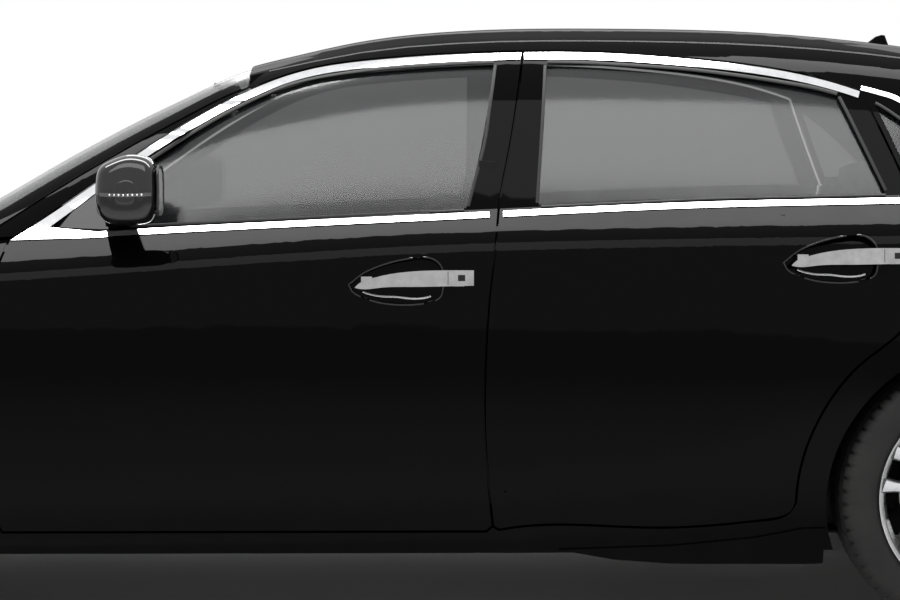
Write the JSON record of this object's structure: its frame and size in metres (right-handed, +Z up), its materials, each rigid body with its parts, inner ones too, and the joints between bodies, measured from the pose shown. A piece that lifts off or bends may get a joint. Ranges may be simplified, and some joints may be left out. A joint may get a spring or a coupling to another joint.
{
  "type": "executive sedan",
  "caption": "Full-size saloon car with opening doors, hood and boot lid, steered front wheels, turning wheels and a furnished cabin.",
  "frame": {"origin": "on the ground, at mid length and mid width", "axes": "-X to the front of the car, -Y to its left side, +Z up"},
  "size_m": [4.9524, 2, 1.5005],
  "materials": {
    "body_paint": "gloss black",
    "glass": "clear, tinted",
    "chrome": "polished",
    "gloss_black": "gloss",
    "black_plastic": "matte",
    "lamp_lens": "clear lens",
    "floor_steel": "satin",
    "tyre_rubber": "matte",
    "alloy": "machined",
    "cast_iron": "cast",
    "chassis_steel": "satin",
    "exhaust_steel": "brushed",
    "dash_vinyl": "grained",
    "seat_leather": "leather"
  },
  "bodies": {
    "car_body": {"body_sides": "body_paint", "cowl": "black_plastic", "dashboard": "dash_vinyl", "engine_block": "cast_iron", "exhaust": "exhaust_steel", "fenders": "body_paint", "fixed_glass": "glass", "floor_pan": "floor_steel", "front_bumper": "body_paint", "front_subframe": "chassis_steel", "grille": "chrome", "headlamps": "lamp_lens", "rear_axle": "chassis_steel", "rear_bumper": "body_paint", "roof_panel": "body_paint", "seats": "seat_leather", "tail_lamps": "lamp_lens", "wheelhouses": "black_plastic"},
    "steering": {"steering_wheel": "dash_vinyl"},
    "hood": {"hood": "body_paint"},
    "boot_lid": {"boot_lid": "body_paint"},
    "front_door_left": {"front_door_left": "body_paint", "front_glass_left": "glass", "front_trim_left": "chrome", "mirror_left": "gloss_black"},
    "rear_door_left": {"rear_door_left": "body_paint", "rear_glass_left": "glass", "rear_trim_left": "chrome"},
    "knuckle_left": {"knuckle_left": "cast_iron"},
    "wheel_front_left": {"tyre_front_left": "tyre_rubber", "wheel_front_left": "alloy"},
    "wheel_rear_left": {"tyre_rear_left": "tyre_rubber", "wheel_rear_left": "alloy"},
    "front_door_right": {"front_door_right": "body_paint", "front_glass_right": "glass", "front_trim_right": "chrome", "mirror_right": "gloss_black"},
    "rear_door_right": {"rear_door_right": "body_paint", "rear_glass_right": "glass", "rear_trim_right": "chrome"},
    "knuckle_right": {"knuckle_right": "cast_iron"},
    "wheel_front_right": {"tyre_front_right": "tyre_rubber", "wheel_front_right": "alloy"},
    "wheel_rear_right": {"tyre_rear_right": "tyre_rubber", "wheel_rear_right": "alloy"}
  },
  "joints": [
    {"name": "front_door_left_hinge", "type": "hinge", "parent": "car_body", "child": "front_door_left", "pos_m": [-1.036, -0.906, 0.6], "axis": [0, 0, -1], "range_deg": [0, 68]},
    {"name": "rear_door_left_hinge", "type": "hinge", "parent": "car_body", "child": "rear_door_left", "pos_m": [0.155, -0.906, 0.6], "axis": [0, 0, -1], "range_deg": [0, 68]},
    {"name": "steer_left", "type": "hinge", "parent": "car_body", "child": "knuckle_left", "pos_m": [-1.595, -0.737, 0.339], "axis": [0, 0, 1], "range_deg": [-35, 35]},
    {"name": "wheel_spin_front_left", "type": "hinge", "parent": "knuckle_left", "child": "wheel_front_left", "pos_m": [-1.595, -0.7775, 0.339], "axis": [0, 1, 0], "continuous": true},
    {"name": "wheel_spin_rear_left", "type": "hinge", "parent": "car_body", "child": "wheel_rear_left", "pos_m": [1.305, -0.7775, 0.339], "axis": [0, 1, 0], "continuous": true},
    {"name": "front_door_right_hinge", "type": "hinge", "parent": "car_body", "child": "front_door_right", "pos_m": [-1.036, 0.906, 0.6], "axis": [0, 0, 1], "range_deg": [0, 68]},
    {"name": "rear_door_right_hinge", "type": "hinge", "parent": "car_body", "child": "rear_door_right", "pos_m": [0.155, 0.906, 0.6], "axis": [0, 0, 1], "range_deg": [0, 68]},
    {"name": "steer_right", "type": "hinge", "parent": "car_body", "child": "knuckle_right", "pos_m": [-1.595, 0.737, 0.339], "axis": [0, 0, 1], "range_deg": [-35, 35]},
    {"name": "wheel_spin_front_right", "type": "hinge", "parent": "knuckle_right", "child": "wheel_front_right", "pos_m": [-1.595, 0.7775, 0.339], "axis": [0, 1, 0], "continuous": true},
    {"name": "wheel_spin_rear_right", "type": "hinge", "parent": "car_body", "child": "wheel_rear_right", "pos_m": [1.305, 0.7775, 0.339], "axis": [0, 1, 0], "continuous": true},
    {"name": "hood_hinge", "type": "hinge", "parent": "car_body", "child": "hood", "pos_m": [-1.424, 0, 0.948], "axis": [0, 1, 0], "range_deg": [0, 50]},
    {"name": "boot_lid_hinge", "type": "hinge", "parent": "car_body", "child": "boot_lid", "pos_m": [1.836, 0, 1.085], "axis": [0, -1, 0], "range_deg": [0, 70]},
    {"name": "steering_wheel_turn", "type": "hinge", "parent": "car_body", "child": "steering", "pos_m": [-0.69, -0.38, 0.8], "axis": [0.9272, 0, 0.3746], "range_deg": [-500, 500]}
  ],
  "couplings": [
    {"joint": "steer_right", "follows": "steer_left", "ratio": 1},
    {"joint": "steering_wheel_turn", "follows": "steer_left", "ratio": 14}
  ]
}
